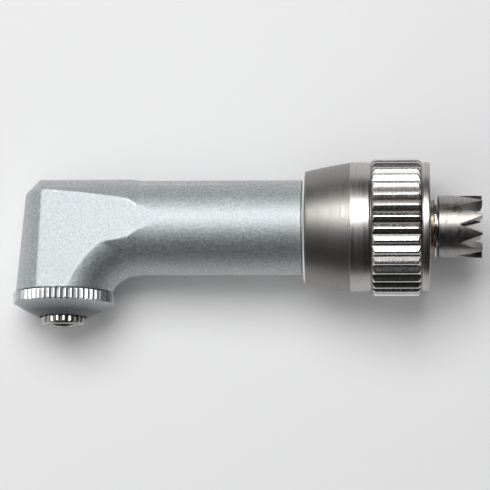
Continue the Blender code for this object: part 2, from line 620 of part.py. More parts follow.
def make_nut_line(barrel, housing):
    place("coupling_nut", coupling_nut(), STAINLESS, barrel)
    retaining = tube(RING_GROOVE_R + FIT_GAP, RETAINING_RING_R, RING_GROOVE[0] + END_GAP,
                     RING_GROOVE[1] - END_GAP, sides=32, sweep=RETAINING_RING_SWEEP)
    place("nut_retaining_ring", retaining, SPRING, barrel)
    pin = place("locating_pin", round_bar(PIN_R, PIN_LENGTH), STEEL, barrel)
    hole = guide("pin_hole_cutter", round_bar(PIN_R + END_GAP, PIN_HOLE_LENGTH), barrel)
    for obj in (pin, hole):
        obj.location = (-PIN_PLACE[0] * MM, 0.0, PIN_PLACE[1] * MM)
        obj.rotation_euler = (0.0, math.radians(90.0), 0.0)
    boolean(housing, "DIFFERENCE", hole)


def main():
    clear_scene()
    barrel = axis_empty("barrel_axis", (0.0, math.radians(90.0), 0.0))
    spindle_line = axis_empty("spindle_axis", (math.radians(90.0), 0.0, 0.0))
    housing = make_housing(barrel, spindle_line)
    make_shaft_line(barrel)
    make_spindle_line(spindle_line)
    make_nut_line(barrel, housing)


main()
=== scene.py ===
"""Looks of the right-angle handpiece head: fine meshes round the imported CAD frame, procedural
metals, a pale floor, soft studio light and the camera. Metres, with +X along the barrel, -Y
along the spindle towards the tool and +Z up. Shapes are drawn in millimetres about their own
axis: heights along the barrel start at the spindle's axis, and heights along the spindle start
at the barrel's axis and grow towards the tool."""

import json
import math

import bmesh
import bpy
from mathutils import Matrix, Vector


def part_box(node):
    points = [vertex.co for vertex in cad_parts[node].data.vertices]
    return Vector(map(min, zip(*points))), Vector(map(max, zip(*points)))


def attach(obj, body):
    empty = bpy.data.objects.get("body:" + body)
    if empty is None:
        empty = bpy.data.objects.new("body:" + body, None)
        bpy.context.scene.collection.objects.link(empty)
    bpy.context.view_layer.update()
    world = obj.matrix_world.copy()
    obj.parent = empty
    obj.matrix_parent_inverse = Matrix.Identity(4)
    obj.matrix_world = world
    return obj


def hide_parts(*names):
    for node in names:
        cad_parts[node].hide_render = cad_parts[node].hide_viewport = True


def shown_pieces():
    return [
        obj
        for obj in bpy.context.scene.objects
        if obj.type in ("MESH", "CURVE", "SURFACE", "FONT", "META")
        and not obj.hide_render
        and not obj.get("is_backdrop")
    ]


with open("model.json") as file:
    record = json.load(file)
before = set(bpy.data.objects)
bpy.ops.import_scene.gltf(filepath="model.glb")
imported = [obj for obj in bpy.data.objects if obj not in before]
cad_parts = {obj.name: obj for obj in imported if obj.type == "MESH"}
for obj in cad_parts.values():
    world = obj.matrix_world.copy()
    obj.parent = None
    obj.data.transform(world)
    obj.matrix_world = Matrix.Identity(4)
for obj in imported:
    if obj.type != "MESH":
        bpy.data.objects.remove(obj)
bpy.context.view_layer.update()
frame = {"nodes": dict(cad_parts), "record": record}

MM = 0.001
SIDES = 96                               # of a turned piece, unless it says otherwise
cap_low, cap_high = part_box("head_cap")
HEAD_X = (cap_low.x + cap_high.x) / 2.0          # where the spindle's axis crosses the barrel's
ALONG_X = Matrix.Rotation(math.radians(90.0), 4, "Y")            # from Z onto the barrel's axis
ALONG_SPINDLE = Matrix.Rotation(math.radians(90.0), 4, "X")      # from Z onto the spindle's axis
HEAD = Matrix.Translation((HEAD_X, 0.0, 0.0))
BARREL = HEAD @ ALONG_X
SPINDLE = HEAD @ ALONG_SPINDLE


# ---------------------------------------------------------------- mesh tools

def polar(radius, angle, height):
    """Point about the Z axis."""
    return (radius * math.cos(angle), radius * math.sin(angle), height)


def ring(radius, height, count):
    """Even circle of points about the Z axis."""
    return [polar(radius, index * math.tau / count, height) for index in range(count)]


def lofted(rings, closed=True):
    """Skin rings of points one after another, and the last to the first where closed. A ring
    may have a whole number of times its neighbour's points, and a ring of one point is a tip."""
    bm = bmesh.new()
    loops = [[bm.verts.new(point) for point in points] for points in rings]
    pairs = list(zip(loops, loops[1:]))
    if closed:
        pairs.append((loops[-1], loops[0]))
    for loop, following in pairs:
        skin(bm, loop, following)
    return bm


def skin(bm, loop, following):
    """Faces between two loops, one of which may have several times the other's points."""
    many, few = (loop, following) if len(loop) >= len(following) else (following, loop)
    ratio = len(many) // len(few)
    for index, vert in enumerate(few):
        after = few[(index + 1) % len(few)]
        span = [many[(index * ratio + step) % len(many)] for step in range(ratio + 1)]
        if ratio == 1:
            bm.faces.new((vert, after, span[1], span[0]))
            continue
        for left, right in zip(span, span[1:]):
            bm.faces.new((vert, right, left))
        if after is not vert:
            bm.faces.new((vert, after, span[-1]))


def softened(profile, radius, steps=3):
    """Round the corners of a closed profile of (radius, height) points by a small radius."""
    points = []
    count = len(profile)
    for index, point in enumerate(profile):
        corner = Vector(point)
        before = Vector(profile[index - 1])
        after = Vector(profile[(index + 1) % count])
        reach = min(radius, (before - corner).length * 0.4, (after - corner).length * 0.4)
        start = corner + (before - corner).normalized() * reach
        end = corner + (after - corner).normalized() * reach
        for step in range(steps + 1):
            share = step / steps
            bend = start * (1 - share) ** 2 + corner * 2 * share * (1 - share) + end * share ** 2
            points.append((bend.x, bend.y))
    return points


def turned(profile, soft=0.0):
    """A ring turned about Z from a closed profile of (radius, height) points, with its corners
    rounded by soft."""
    if soft:
        profile = softened(profile, soft)
    return lofted([ring(radius, height, SIDES) for radius, height in profile])


def turned_solid(profile, sides=SIDES):
    """A solid turned about Z from a profile that starts and ends on the axis."""
    rings = [[(0.0, 0.0, height)] if radius == 0.0 else ring(radius, height, sides)
             for radius, height in profile]
    return lofted(rings, closed=False)


def block(low, high):
    """Box between two corners."""
    bm = bmesh.new()
    size = [b - a for a, b in zip(low, high)]
    centre = [(a + b) / 2.0 for a, b in zip(low, high)]
    place = Matrix.Translation(centre) @ Matrix.Diagonal((*size, 1.0))
    bmesh.ops.create_cube(bm, size=1.0, matrix=place)
    return bm


def mesh_object(name, bm, matrix=None):
    """Object of a finished bmesh, turned or moved by a matrix. The bmesh is freed."""
    bmesh.ops.recalc_face_normals(bm, faces=bm.faces)
    if matrix:
        bm.transform(matrix)
    mesh = bpy.data.meshes.new(name)
    bm.to_mesh(mesh)
    bm.free()
    obj = bpy.data.objects.new(name, mesh)
    bpy.context.scene.collection.objects.link(obj)
    return obj


def modified(obj, name):
    """Mesh of an object with its modifiers applied. The object is removed."""
    graph = bpy.context.evaluated_depsgraph_get()
    mesh = bpy.data.meshes.new_from_object(obj.evaluated_get(graph))
    mesh.name = name
    bpy.data.objects.remove(obj, do_unlink=True)
    return mesh


def boolean(obj, operation, bm, matrix=None):
    """Add a Boolean with a shape, and return the shape's object, to be removed afterwards."""
    other = mesh_object("cutter", bm, matrix)
    modifier = obj.modifiers.new(operation.lower(), "BOOLEAN")
    modifier.operation = operation
    modifier.solver = "EXACT"
    modifier.object = other
    return other


def remove_all(objects):
    for obj in objects:
        bpy.data.objects.remove(obj, do_unlink=True)


def finished(name, mesh, axis, body, material, replaced, sharp=32.0):
    """Turn a millimetre mesh about its own axis into a piece that rides on a body and replaces
    nodes. Edges over sharp degrees stay sharp."""
    mesh.shade_smooth()
    mesh.set_sharp_from_angle(angle=math.radians(sharp))
    draft = bpy.data.objects.new(name + "_draft", mesh)
    bpy.context.scene.collection.objects.link(draft)
    weighted = draft.modifiers.new("even_normals", "WEIGHTED_NORMAL")
    weighted.keep_sharp = True
    mesh = modified(draft, name)
    mesh.transform(Matrix.Scale(MM, 4))
    mesh.materials.clear()
    mesh.materials.append(material)
    piece = bpy.data.objects.new(name, mesh)
    bpy.context.scene.collection.objects.link(piece)
    piece.matrix_world = axis
    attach(piece, body)
    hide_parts(*replaced)


def finished_bmesh(name, bm, axis, body, material, replaced, sharp=32.0):
    """The same from a bmesh."""
    obj = mesh_object(name + "_draft", bm)
    mesh = obj.data
    bpy.data.objects.remove(obj, do_unlink=True)
    finished(name, mesh, axis, body, material, replaced, sharp)


def smoothstep(low, high, value):
    """Smooth rise from 0 at low to 1 at high."""
    share = min(1.0, max(0.0, (value - low) / (high - low)))
    return share * share * (3.0 - 2.0 * share)


# ---------------------------------------------------------------- materials

class Metal:
    """Builds one procedural material. Coordinates are the piece's own, in millimetres."""

    def __init__(self, name, colour, roughness, metallic=1.0):
        self.material = bpy.data.materials.new(name)
        self.material.use_nodes = True
        self.tree = self.material.node_tree
        self.shader = self.tree.nodes["Principled BSDF"]
        self.shader.inputs["Base Color"].default_value = (*colour, 1.0)
        self.shader.inputs["Roughness"].default_value = roughness
        self.shader.inputs["Metallic"].default_value = metallic
        source = self.tree.nodes.new("ShaderNodeTexCoord").outputs["Object"]
        scale = self.node("ShaderNodeVectorMath", operation="SCALE")
        scale.inputs["Scale"].default_value = 1.0 / MM
        self.link(source, scale.inputs[0])
        self.place = scale.outputs[0]
        split = self.node("ShaderNodeSeparateXYZ")
        self.link(self.place, split.inputs[0])
        self.x, self.y, self.z = split.outputs
        self.normal = None

    def node(self, kind, **settings):
        made = self.tree.nodes.new(kind)
        for key, value in settings.items():
            setattr(made, key, value)
        return made

    def link(self, output, socket):
        self.tree.links.new(output, socket)

    def put(self, value, socket):
        """Set a socket to a number, or link an output to it."""
        if isinstance(value, (int, float)):
            socket.default_value = value
        else:
            self.link(value, socket)

    def math(self, operation, first, second=0.0, third=0.0):
        made = self.node("ShaderNodeMath", operation=operation)
        for value, socket in zip((first, second, third), made.inputs):
            self.put(value, socket)
        return made.outputs[0]

    def radius(self):
        """Distance from the piece's own axis."""
        square_x = self.math("MULTIPLY", self.x, self.x)
        square_y = self.math("MULTIPLY", self.y, self.y)
        return self.math("SQRT", self.math("ADD", square_x, square_y))

    def noise(self, scale, detail=3.0, roughness=0.55, vector=None, distortion=0.0):
        made = self.node("ShaderNodeTexNoise")
        self.link(vector or self.place, made.inputs["Vector"])
        made.inputs["Scale"].default_value = scale
        made.inputs["Detail"].default_value = detail
        made.inputs["Roughness"].default_value = roughness
        made.inputs["Distortion"].default_value = distortion
        return made.outputs[0]

    def stretched(self, x, y, z):
        """The piece's coordinates with a different scale along each axis."""
        made = self.node("ShaderNodeVectorMath", operation="MULTIPLY")
        made.inputs[1].default_value = (x, y, z)
        self.link(self.place, made.inputs[0])
        return made.outputs[0]

    def round_axis(self, along, across):
        """Coordinates for marks that run round the axis: radius and height scaled together, and
        the angle scaled separately."""
        angle = self.math("ARCTAN2", self.y, self.x)
        joined = self.node("ShaderNodeCombineXYZ")
        self.put(self.math("MULTIPLY", self.z, across), joined.inputs[0])
        self.put(self.math("MULTIPLY", self.radius(), across), joined.inputs[1])
        self.put(self.math("MULTIPLY", angle, along), joined.inputs[2])
        return joined.outputs[0]

    def inside_band(self, low, high, inner_r):
        """One between two heights and outside a radius, and zero elsewhere."""
        between = self.math("MULTIPLY", self.math("GREATER_THAN", self.z, low),
                            self.math("LESS_THAN", self.z, high))
        return self.math("MULTIPLY", between, self.math("GREATER_THAN", self.radius(), inner_r))

    def map(self, value, low, high, to_low, to_high):
        made = self.node("ShaderNodeMapRange")
        self.put(value, made.inputs["Value"])
        made.inputs["From Min"].default_value = low
        made.inputs["From Max"].default_value = high
        made.inputs["To Min"].default_value = to_low
        made.inputs["To Max"].default_value = to_high
        return made.outputs[0]

    def mix(self, share, first, second):
        """Mix of two colours, each a tuple or an output."""
        made = self.node("ShaderNodeMix", data_type="RGBA")
        self.put(share, made.inputs["Factor"])
        for value, socket in ((first, made.inputs[6]), (second, made.inputs[7])):
            if isinstance(value, tuple):
                socket.default_value = (*value, 1.0)
            else:
                self.link(value, socket)
        return made.outputs[2]

    def bump(self, height, distance, strength=1.0):
        made = self.node("ShaderNodeBump")
        made.inputs["Distance"].default_value = distance * MM
        made.inputs["Strength"].default_value = strength
        self.link(height, made.inputs["Height"])
        if self.normal is not None:
            self.link(self.normal, made.inputs["Normal"])
        self.normal = made.outputs[0]

    def colour(self, output):
        self.link(output, self.shader.inputs["Base Color"])

    def roughness(self, output):
        self.link(output, self.shader.inputs["Roughness"])

    def done(self):
        if self.normal is not None:
            self.link(self.normal, self.shader.inputs["Normal"])
        return self.material


def satin_chrome():
    """Bead-blasted, satin plated skin: even grain, faint clouding and brighter edges."""
    dark, light = (0.440, 0.474, 0.492), (0.730, 0.760, 0.765)
    clouded, rubbed = (0.54, 0.57, 0.585), (0.78, 0.80, 0.80)
    metal = Metal("satin_chrome", (0.72, 0.76, 0.78), 0.5)
    grain = metal.noise(4.2, 4.0, 0.7)
    fine = metal.noise(15.0, 2.0, 0.6)
    cloud = metal.noise(0.35, 3.0, 0.5)
    edge = metal.map(metal.node("ShaderNodeNewGeometry").outputs["Pointiness"], 0.50, 0.56, 0.0, 1.0)
    tone = metal.mix(metal.map(grain, 0.36, 0.64, 0.0, 1.0), dark, light)
    tone = metal.mix(metal.map(cloud, 0.35, 0.7, 0.0, 0.25), tone, clouded)
    metal.colour(metal.mix(metal.math("MULTIPLY", edge, 0.5), tone, rubbed))
    rough = metal.map(grain, 0.3, 0.7, 0.53, 0.65)
    metal.roughness(metal.math("SUBTRACT", rough, metal.math("MULTIPLY", edge, 0.08)))
    metal.bump(grain, 0.032, 0.75)
    metal.bump(fine, 0.012, 0.7)
    return metal.done()


def cap_metal(valley_r, ridge_r, band_low, band_high):
    """Satin plate, with painted shade that darkens it towards its hole, whose knurled band is polished on the
    ridges.
    """
    dark, light = (0.52, 0.55, 0.565), (0.72, 0.75, 0.765)
    cap_shade_dark, cap_shade_light = (0.065, 0.075, 0.08), (0.125, 0.14, 0.147)
    groove, polished = (0.44, 0.465, 0.475), (0.90, 0.915, 0.915)
    metal = Metal("satin_cap", (0.66, 0.70, 0.72), 0.42)
    radius = metal.radius()
    band = metal.inside_band(band_low, band_high, valley_r - 0.08)
    crest = metal.math("MULTIPLY", band, metal.map(radius, valley_r, ridge_r - 0.06, 0.0, 1.0))
    grain = metal.noise(4.2, 4.0, 0.7)
    lathe = metal.noise(1.0, 4.0, 0.6, metal.round_axis(1.5, 14.0))
    speckle = metal.map(grain, 0.36, 0.64, 0.0, 1.0)
    # Painted shade: a near-black grained colour, mixed in fully near the hole and by about a third at the rim.
    painted_cap_shade = metal.mix(speckle, cap_shade_dark, cap_shade_light)
    tone = metal.mix(metal.map(radius, 3.4, 5.0, 1.0, 0.35), metal.mix(speckle, dark, light), painted_cap_shade)
    metal.colour(metal.mix(crest, metal.mix(band, tone, groove), polished))
    rough = metal.map(grain, 0.3, 0.7, 0.30, 0.42)
    metal.roughness(metal.math("SUBTRACT", rough, metal.math("MULTIPLY", band, 0.02)))
    metal.bump(metal.math("MULTIPLY", grain, metal.math("SUBTRACT", 1.0, band)), 0.016, 0.5)
    metal.bump(lathe, 0.002, 0.4)
    return metal.done()


def brushed_stainless(valley_r, ridge_r, band_low, band_high, cone_end, painted_highlight_end):
    """Turned stainless: rings of fine tool marks, duller on the cone, where its colour is also darkened as
    painted shade, with a painted highlight along the front edge, polished ridges and dark grooves."""
    dark, light = (0.44, 0.425, 0.41), (0.60, 0.585, 0.565)
    stained, specks = (0.50, 0.46, 0.42), (0.36, 0.35, 0.34)
    dull_and_shaded, groove, polished = (0.27, 0.26, 0.245), (0.27, 0.25, 0.235), (0.92, 0.915, 0.90)
    metal = Metal("brushed_stainless", (0.62, 0.60, 0.57), 0.3)
    metal.shader.inputs["Anisotropic"].default_value = 0.45
    tangent = metal.node("ShaderNodeTangent", direction_type="RADIAL", axis="Z")
    metal.link(tangent.outputs[0], metal.shader.inputs["Tangent"])
    band = metal.inside_band(band_low, band_high, valley_r - 0.1)
    height = metal.map(metal.radius(), valley_r + 0.1, ridge_r - 0.06, 0.0, 1.0)
    crest = metal.math("MULTIPLY", band, height)
    cone = metal.math("LESS_THAN", metal.z, cone_end)
    # Painted highlight: the rounded front edge takes the bright polished colour, which shows as a thin bright
    # line.
    front = metal.math("LESS_THAN", metal.z, painted_highlight_end)
    marks = metal.noise(1.0, 5.0, 0.65, metal.round_axis(0.9, 16.0))
    coarse = metal.noise(1.0, 3.0, 0.6, metal.round_axis(0.5, 5.0))
    grain = metal.noise(7.0, 3.0, 0.6)
    stain = metal.noise(0.6, 4.0, 0.6)
    tone = metal.mix(metal.map(marks, 0.3, 0.7, 0.0, 1.0), dark, light)
    tone = metal.mix(metal.map(stain, 0.45, 0.75, 0.0, 0.3), tone, stained)
    tone = metal.mix(metal.map(grain, 0.4, 0.65, 0.0, 0.3), tone, specks)
    # Painted shade: the cone's colour is pulled most of the way to a dark grey, beside its duller finish.
    tone = metal.mix(metal.math("MULTIPLY", cone, 0.85), tone, dull_and_shaded)
    tone = metal.mix(band, tone, groove)
    # The bright colour stands for polish on the ridges' crests and for a painted highlight on the front edge.
    metal.colour(metal.mix(metal.math("MAXIMUM", crest, front), tone, polished))
    rough = metal.map(coarse, 0.3, 0.7, 0.24, 0.34)
    rough = metal.math("ADD", rough, metal.math("MULTIPLY", cone, 0.09))
    metal.roughness(metal.math("SUBTRACT", rough, metal.math("MULTIPLY", crest, 0.08)))
    metal.bump(metal.math("MULTIPLY", marks, metal.math("SUBTRACT", 1.0, band)), 0.004, 0.55)
    metal.bump(coarse, 0.003, 0.3)
    metal.bump(grain, 0.002, 0.4)
    return metal.done()


def machined_steel(name, dark, light, roughness, stain=(0.36, 0.30, 0.24), stain_share=0.35, relief=1.0):
    """Cut or ground steel with ring marks, small scratches and brown staining."""
    metal = Metal(name, light, roughness)
    marks = metal.noise(1.0, 4.0, 0.6, metal.round_axis(1.2, 18.0))
    scratches = metal.noise(1.0, 2.0, 0.5, metal.stretched(3.0, 3.0, 26.0), 0.4)
    patch = metal.noise(1.3, 5.0, 0.65)
    tone = metal.mix(metal.map(marks, 0.3, 0.7, 0.0, 1.0), dark, light)
    metal.colour(metal.mix(metal.map(patch, 0.48, 0.72, 0.0, stain_share), tone, stain))
    metal.roughness(metal.map(patch, 0.35, 0.7, roughness * 0.8, min(1.0, roughness * 1.45)))
    metal.bump(marks, 0.003 * relief, 0.5)
    metal.bump(scratches, 0.003 * relief, 0.3)
    return metal.done()


def bronze():
    """Turned bronze with a brown patina."""
    dark, light, patina_tone = (0.30, 0.22, 0.15), (0.50, 0.40, 0.29), (0.17, 0.12, 0.085)
    metal = Metal("turned_bronze", (0.40, 0.30, 0.21), 0.34)
    marks = metal.noise(1.0, 4.0, 0.6, metal.round_axis(1.0, 15.0))
    patina = metal.noise(1.1, 4.0, 0.6)
    tone = metal.mix(metal.map(marks, 0.3, 0.7, 0.0, 1.0), dark, light)
    metal.colour(metal.mix(metal.map(patina, 0.42, 0.66, 0.0, 0.7), tone, patina_tone))
    metal.roughness(metal.map(patina, 0.35, 0.7, 0.28, 0.46))
    metal.bump(marks, 0.003, 0.5)
    return metal.done()


def seal_rubber():
    """Black rubber with a fine speckle."""
    dark, light = (0.018, 0.018, 0.018), (0.05, 0.05, 0.048)
    rubber = Metal("seal_rubber", (0.03, 0.03, 0.03), 0.6, 0.0)
    speckle = rubber.noise(14.0, 3.0, 0.6)
    rubber.colour(rubber.mix(rubber.map(speckle, 0.3, 0.7, 0.0, 1.0), dark, light))
    rubber.roughness(rubber.map(speckle, 0.3, 0.7, 0.5, 0.72))
    rubber.bump(speckle, 0.008, 0.5)
    return rubber.done()


# ---------------------------------------------------------------- housing

HEAD_START = -6.0             # blank's end, before the front cone is cut
HEAD_R, BARREL_R = 4.88, 4.74
STEP_START, STEP_END = 6.8, 7.7
BARREL_SHOULDER = 23.92
NECK_START, NECK_R = 20.0, 4.3
SPIGOT_R = 4.0
SPIGOT_START, SPIGOT_END = 27.9, 35.6
SPIGOT_EDGE, SPIGOT_LEAD = 0.1, 0.15
RING_GROOVE_R, RING_GROOVE = 3.95, (26.15, 26.85)
FRONT_R0, FRONT_SLOPE = 4.2, 0.084       # front cone's radius at the barrel's axis, and its taper
CHAMFER_R, CHAMFER_HEIGHT, CHAMFER_SLOPE = 3.923, -3.3, 1.11
CHAMFER_TOP_R = 2.0
FRONT_CUTTER_R, FRONT_CUTTER_REACH = 10.0, 8.0
COLUMN = ((-6.0, -4.65, 0.5), (0.4, 4.65, 9.5))      # block between the barrel and the cap
HEAD_BOTTOM = 6.54
BELOW_HEAD = ((-8.0, -7.0, HEAD_BOTTOM), (7.6, 7.0, 15.0))
BEND_CENTRE = (7.45, -7.65)
BEND_R, BEND_SECTION_R = 7.3, 4.5
BEND_START, BEND_SWEEP = 88.0, 96.0      # degrees round the bend's centre
BEND_SIDES, BEND_STEPS = 96, 48
FLAT_DISTANCE, FLAT_TAPER, FLAT_TILT = 3.87, 0.093, 0.083
FLAT_CUTTER = ((-20.0, -20.0, 0.0), (20.0, 20.0, 8.0))
VOXEL = 0.085                            # size of the even mesh that the edges are softened on
EDGE_SMOOTHING, SMOOTHING_STEPS, FACES_KEPT = 0.5, 5, 0.28
BORE_START, BORE_SHOULDER = 0.4, 3.75
BORE_R, PINION_BORE_R = 3.15, 2.62
UPPER_SEAT_R, UPPER_SEAT = 1.73, (-4.15, -2.45)      # seat of the spindle's upper bush
GEAR_CHAMBER_R = 2.8
CAP_BORE_R, CAP_BORE_TOP, CAP_BORE_END = 3.9, 4.35, 9.0
PIN_HOLE_R, PIN_HOLE_LENGTH, PIN_HOLE_X = 0.65, 6.0, 31.0


def half_ring(outline, sides):
    """Half of a turned ring, on the side of its axis that faces the head's front."""
    rings = []
    for step in range(sides + 1):
        angle = math.pi / 2.0 + step * math.pi / sides
        rings.append([polar(radius, angle, height) for radius, height in outline])
    return capped(rings)


def capped(sections):
    """Skin a row of equal closed sections and cap its two ends."""
    bm = lofted(sections, closed=False)
    bm.verts.ensure_lookup_table()
    count = len(sections[0])
    bm.faces.new([bm.verts[index] for index in range(count)])
    total = len(bm.verts)
    bm.faces.new([bm.verts[index] for index in range(total - count, total)])
    return bm


def elbow_bmesh():
    """Round bend between the barrel and the head's column."""
    centre = Vector((*BEND_CENTRE, 0.0))
    turns = [index * math.tau / BEND_SIDES for index in range(BEND_SIDES)]
    sections = []
    for step in range(BEND_STEPS + 1):
        angle = math.radians(BEND_START + BEND_SWEEP * step / BEND_STEPS)
        outward = Vector((math.cos(angle), math.sin(angle), 0.0))
        section = []
        for turn in turns:
            sideways = Vector((0.0, 0.0, BEND_SECTION_R * math.sin(turn)))
            section.append(centre + outward * (BEND_R + BEND_SECTION_R * math.cos(turn)) + sideways)
        sections.append(section)
    return capped(sections)


def front_cutter_bmesh():
    """What is cut off in front of the head: outside its front cone and the chamfer above it."""
    reach = FRONT_CUTTER_REACH
    chamfer_top = CHAMFER_HEIGHT - (CHAMFER_R - CHAMFER_TOP_R) * CHAMFER_SLOPE
    outline = [(FRONT_R0 + FRONT_SLOPE * reach, reach), (CHAMFER_R, CHAMFER_HEIGHT),
               (CHAMFER_TOP_R, chamfer_top), (CHAMFER_TOP_R, -reach),
               (FRONT_CUTTER_R, -reach), (FRONT_CUTTER_R, reach)]
    return half_ring(outline, 72)


def flat_matrix(side):
    """Place of the head's flat, which leans in towards the front and the cap."""
    normal = Vector((-FLAT_TAPER, FLAT_TILT, side)).normalized()
    turn = normal.to_track_quat("Z", "Y").to_matrix().to_4x4()
    return Matrix.Translation((0.0, 0.0, side * FLAT_DISTANCE)) @ turn


def soften_edges(obj):
    """Remesh evenly, smooth and thin out, which rounds every edge by a little."""
    remesh = obj.modifiers.new("even_mesh", "REMESH")
    remesh.mode = "VOXEL"
    remesh.voxel_size = VOXEL
    smooth = obj.modifiers.new("soft_edges", "SMOOTH")
    smooth.factor = EDGE_SMOOTHING
    smooth.iterations = SMOOTHING_STEPS
    thin = obj.modifiers.new("lighter", "DECIMATE")
    thin.ratio = FACES_KEPT


def outer_skin_mesh():
    """Head, elbow and barrel with softened edges, still without bores."""
    outline = [(0.0, HEAD_START), (HEAD_R, HEAD_START), (HEAD_R, STEP_START), (BARREL_R, STEP_END),
               (BARREL_R, BARREL_SHOULDER), (0.0, BARREL_SHOULDER)]
    skin_object = mesh_object("housing_skin", turned_solid(outline, 128), ALONG_X)
    cutters = [
        boolean(skin_object, "UNION", elbow_bmesh()),
        boolean(skin_object, "UNION", block(*COLUMN), ALONG_SPINDLE),
        boolean(skin_object, "DIFFERENCE", block(*BELOW_HEAD), ALONG_SPINDLE),
        boolean(skin_object, "DIFFERENCE", front_cutter_bmesh(), ALONG_SPINDLE),
    ]
    for side in (1.0, -1.0):
        cutters.append(boolean(skin_object, "DIFFERENCE", block(*FLAT_CUTTER), flat_matrix(side)))
    soften_edges(skin_object)
    mesh = modified(skin_object, "housing_skin")
    remove_all(cutters)
    return mesh


def neck_bmesh():
    """Neck inside the nut, with its snap ring's groove, and the spigot behind it."""
    return turned_solid([
        (0.0, NECK_START), (NECK_R, NECK_START), (NECK_R, RING_GROOVE[0]), (RING_GROOVE_R, RING_GROOVE[0]),
        (RING_GROOVE_R, RING_GROOVE[1]), (NECK_R, RING_GROOVE[1]), (NECK_R, SPIGOT_START),
        (SPIGOT_R, SPIGOT_START + SPIGOT_EDGE), (SPIGOT_R, SPIGOT_END - SPIGOT_LEAD),
        (SPIGOT_R - SPIGOT_LEAD, SPIGOT_END), (0.0, SPIGOT_END),
    ])


def chamber_bmesh():
    """Room for the spindle and its gear, open towards the cap."""
    return turned_solid([
        (0.0, UPPER_SEAT[0]), (UPPER_SEAT_R, UPPER_SEAT[0]), (UPPER_SEAT_R, UPPER_SEAT[1]),
        (GEAR_CHAMBER_R, UPPER_SEAT[1]), (GEAR_CHAMBER_R, CAP_BORE_TOP), (CAP_BORE_R, CAP_BORE_TOP),
        (CAP_BORE_R, CAP_BORE_END), (0.0, CAP_BORE_END),
    ], 72)


def bore_bmesh():
    """Stepped bore of the pinion and the shaft's bearings, open at the spigot's end."""
    rear = SPIGOT_END + 1.0
    return turned_solid([
        (0.0, BORE_START), (PINION_BORE_R, BORE_START), (PINION_BORE_R, BORE_SHOULDER),
        (BORE_R, BORE_SHOULDER), (BORE_R, rear), (0.0, rear),
    ])


def housing_mesh():
    """Head housing: the softened skin, and the neck, bores and pin hole with their sharp edges."""
    body = bpy.data.objects.new("housing_body", outer_skin_mesh())
    bpy.context.scene.collection.objects.link(body)
    pin_hole = turned_solid([(0.0, 0.0), (PIN_HOLE_R, 0.0), (PIN_HOLE_R, PIN_HOLE_LENGTH),
                             (0.0, PIN_HOLE_LENGTH)], 32)
    cutters = [
        boolean(body, "UNION", neck_bmesh(), ALONG_X),
        boolean(body, "DIFFERENCE", chamber_bmesh(), ALONG_SPINDLE),
        boolean(body, "DIFFERENCE", bore_bmesh(), ALONG_X),
        boolean(body, "DIFFERENCE", pin_hole, Matrix.Translation((PIN_HOLE_X, 0.0, 0.0))),
    ]
    mesh = modified(body, "head_housing_skin")
    remove_all(cutters)
    return mesh


# ---------------------------------------------------------------- cap and nose

CAP_R, CAP_VALLEY_R, CAP_RIDGES = 5.04, 4.86, 54
CAP_BAND_START, CAP_BAND_END = 6.59, 7.7
CAP_SLEEVE_R, CAP_SLEEVE_START = 3.85, 4.5
CAP_RACE_SEAT_R, CAP_LEDGE = 3.4, 6.78
CAP_POCKET_R, CAP_POCKET_END = 2.95, 7.3
CAP_HOLE_R, CAP_END = 2.35, 9.0
CAP_CONE = [(4.0, 8.22), (3.2, 8.6), (2.55, 8.945), (2.46, 8.985)]       # from the band to the hole
CAP_SIDES = 108


def cap_bmesh():
    """Screw cap with rounded ridges, which run out at the band's edge next to the head."""
    per_ridge = 8
    count = CAP_RIDGES * per_ridge

    def band(height, rise):
        """Ring of the knurled band. rise is the ridges' share of their full height."""
        points = []
        for index in range(count):
            share = 0.5 + 0.5 * math.cos(math.tau * index / per_ridge)
            radius = CAP_VALLEY_R + (CAP_R - CAP_VALLEY_R) * rise * share ** 0.65
            points.append(polar(radius, index * math.tau / count, height))
        return points

    rings = [ring(CAP_SLEEVE_R, CAP_SLEEVE_START + 0.05, CAP_SIDES),
             ring(CAP_SLEEVE_R, CAP_BAND_START, CAP_SIDES),
             ring(CAP_VALLEY_R - 0.11, CAP_BAND_START, CAP_SIDES)]
    band_steps, band_edge = 14, 0.02
    for step in range(band_steps + 1):
        share = step / band_steps
        height = CAP_BAND_START + band_edge + (CAP_BAND_END - CAP_BAND_START - band_edge) * share
        rise = smoothstep(-0.06, 0.09, share) * (1.0 - 0.25 * smoothstep(0.92, 1.02, share))
        rings.append(band(height, rise))
    inner = [
        (CAP_VALLEY_R - 0.03, CAP_BAND_END + 0.03), (CAP_VALLEY_R - 0.14, CAP_BAND_END + 0.075), *CAP_CONE,
        (CAP_HOLE_R + 0.03, CAP_END), (CAP_HOLE_R, CAP_END - 0.04), (CAP_HOLE_R, CAP_POCKET_END),
        (CAP_POCKET_R, CAP_POCKET_END), (CAP_POCKET_R, CAP_LEDGE), (CAP_RACE_SEAT_R, CAP_LEDGE),
        (CAP_RACE_SEAT_R, CAP_SLEEVE_START + 0.05), (CAP_RACE_SEAT_R + 0.05, CAP_SLEEVE_START),
        (CAP_SLEEVE_R - 0.05, CAP_SLEEVE_START),
    ]
    rings += [ring(radius, height, CAP_SIDES) for radius, height in inner]
    return lofted(rings)


NOSE_R, NOSE_FLUTES, NOSE_FLUTE_DEPTH = 2.15, 16, 0.14
NOSE_START, NOSE_END = 7.4, 9.8
NOSE_BORE_R = 1.2             # bore for a 2.35 mm shank
NOSE_SEAT_R, NOSE_SEAT_END = 1.77, 9.3


